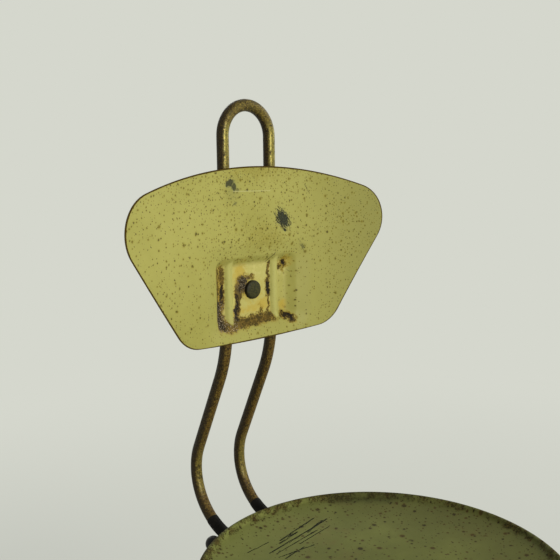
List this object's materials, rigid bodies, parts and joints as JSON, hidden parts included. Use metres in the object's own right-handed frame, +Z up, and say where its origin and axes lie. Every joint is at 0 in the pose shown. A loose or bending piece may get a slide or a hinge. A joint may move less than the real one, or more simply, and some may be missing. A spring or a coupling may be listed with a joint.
{
  "type": "dentist stool",
  "caption": "Round dished metal stool seat with a curved pressed backrest on a bent rod loop, telescopic swivel column, splayed tube legs and a foot ring.",
  "frame": {"origin": "on the floor, on the axis of the column", "axes": "+Z up, -Y the way the sitter faces, backrest at +Y, +X to the sitter's left"},
  "size_m": [0.534, 0.534, 0.8999],
  "materials": {
    "plate_enamel": "worn satin enamel",
    "seat_enamel": "worn satin enamel",
    "base_paint": "worn satin enamel",
    "frame_black": "worn satin",
    "rod_steel": "aged brass plate",
    "column_steel": "bright turned",
    "zinc_steel": "dull zinc plate",
    "dark_steel": "blackened",
    "washer_brass": "satin",
    "black_plastic": "moulded gloss",
    "black_rubber": "matt",
    "nylon": "matt"
  },
  "bodies": {
    "base": {"hub_tube": "base_paint", "hub_cap": "black_rubber", "guide_bush": "nylon", "knob_boss": "base_paint", "leg_1": "base_paint", "leg_2": "base_paint", "leg_3": "base_paint", "leg_4": "base_paint", "foot_bar_1": "base_paint", "foot_bar_2": "base_paint", "foot_bar_3": "base_paint", "foot_bar_4": "base_paint", "foot_1": "black_rubber", "foot_2": "black_rubber", "foot_3": "black_rubber", "foot_4": "black_rubber"},
    "height_knob": {"height_screw": "zinc_steel", "height_knob": "black_plastic"},
    "column": {"column_tube": "column_steel", "column_bush": "nylon", "spindle": "column_steel", "thrust_washer": "washer_brass"},
    "seat": {"seat_pan": "seat_enamel", "seat_beam": "frame_black", "pan_studs": "zinc_steel", "pan_nuts": "zinc_steel", "clamp_bar_front": "frame_black", "clamp_bar_rear": "frame_black", "clamp_bar_bolts": "dark_steel", "swivel_socket": "frame_black", "keeper_screw": "dark_steel", "pinch_screw": "dark_steel", "back_rod": "rod_steel", "rod_sleeve_left": "black_rubber", "rod_sleeve_right": "black_rubber"},
    "lever": {"pinch_lever": "frame_black", "lever_ball": "black_plastic"},
    "backrest": {"back_plate": "plate_enamel", "pocket_bolt": "dark_steel", "rear_strap": "frame_black", "nut_washer": "zinc_steel"},
    "wing_nut": {"wing_nut": "zinc_steel"}
  },
  "joints": [
    {"name": "column_lift", "type": "slide", "parent": "base", "child": "column", "axis": [0, 0, 1], "range_m": [0, 0.13]},
    {"name": "height_knob_turn", "type": "hinge", "parent": "base", "child": "height_knob", "pos_m": [0.057, 0, 0.385], "axis": [1, 0, 0], "range_deg": [0, 540]},
    {"name": "seat_swivel", "type": "hinge", "parent": "column", "child": "seat", "pos_m": [0, 0, 0.419], "axis": [0, 0, 1], "continuous": true},
    {"name": "lever_swing", "type": "hinge", "parent": "seat", "child": "lever", "pos_m": [-0.0178, 0.033, 0.431], "axis": [1, 0, 0], "range_deg": [-28, 0]},
    {"name": "backrest_slide", "type": "slide", "parent": "seat", "child": "backrest", "axis": [0, 0, 1], "range_m": [0, 0.09]},
    {"name": "wing_nut_turn", "type": "hinge", "parent": "backrest", "child": "wing_nut", "pos_m": [0, 0.194, 0.714], "axis": [0, 1, 0], "range_deg": [0, 540]}
  ]
}
